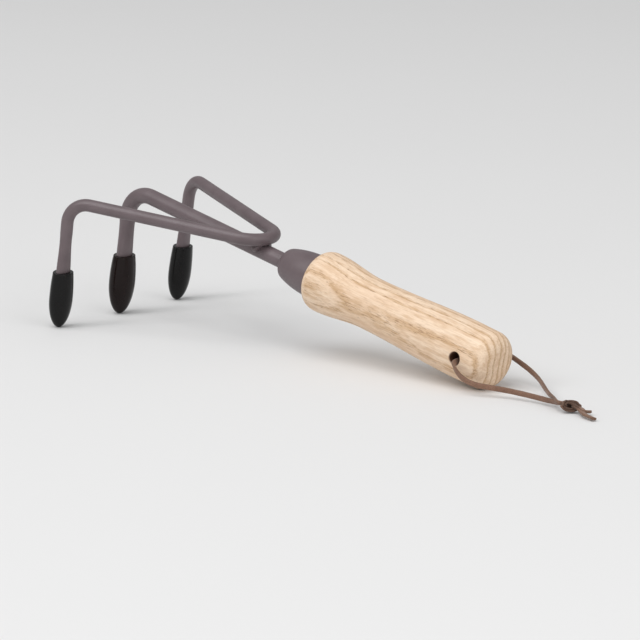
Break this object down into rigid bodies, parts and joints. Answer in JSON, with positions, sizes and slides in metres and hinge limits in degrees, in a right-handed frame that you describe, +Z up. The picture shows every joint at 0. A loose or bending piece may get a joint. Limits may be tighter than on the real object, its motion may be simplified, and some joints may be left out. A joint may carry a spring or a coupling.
{
  "type": "hand rake",
  "caption": "Hand cultivator with bent steel tines in pull-off tip guards, a steel ferrule and a turned wooden handle with a knotted leather hanging lace.",
  "frame": {"origin": "on the floor under the middle of the tool, which stands on its tip guards and the edge of its butt; the lace is not counted", "axes": "+X from the tines towards the handle's butt, +Y to the tool's right, +Z up"},
  "size_m": [0.3252, 0.1002, 0.068],
  "materials": {
    "powder_coat": "satin powder coat",
    "ash": "oiled, fine sanded",
    "guard_plastic": "glossy dipped vinyl",
    "lace_leather": "raw cut thong"
  },
  "bodies": {
    "tool": {"middle_tine": "powder_coat", "side_tines": "powder_coat", "apex_weld_left": "powder_coat", "apex_weld_right": "powder_coat", "ferrule": "powder_coat", "ferrule_weld": "powder_coat", "handle": "ash", "lace": "lace_leather", "lace_knot": "lace_leather", "lace_tail_short": "lace_leather", "lace_tail_long": "lace_leather"},
    "left_guard": {"tip_guard_left": "guard_plastic"},
    "middle_guard": {"tip_guard_middle": "guard_plastic"},
    "right_guard": {"tip_guard_right": "guard_plastic"}
  },
  "joints": [
    {"name": "left_guard_pull", "type": "slide", "parent": "tool", "child": "left_guard", "axis": [-0.1508, 0.0179, -0.9884], "range_m": [0, 0.032]},
    {"name": "middle_guard_pull", "type": "slide", "parent": "tool", "child": "middle_guard", "axis": [-0.1317, 0, -0.9913], "range_m": [0, 0.034]},
    {"name": "right_guard_pull", "type": "slide", "parent": "tool", "child": "right_guard", "axis": [-0.1508, -0.0179, -0.9884], "range_m": [0, 0.032]}
  ]
}
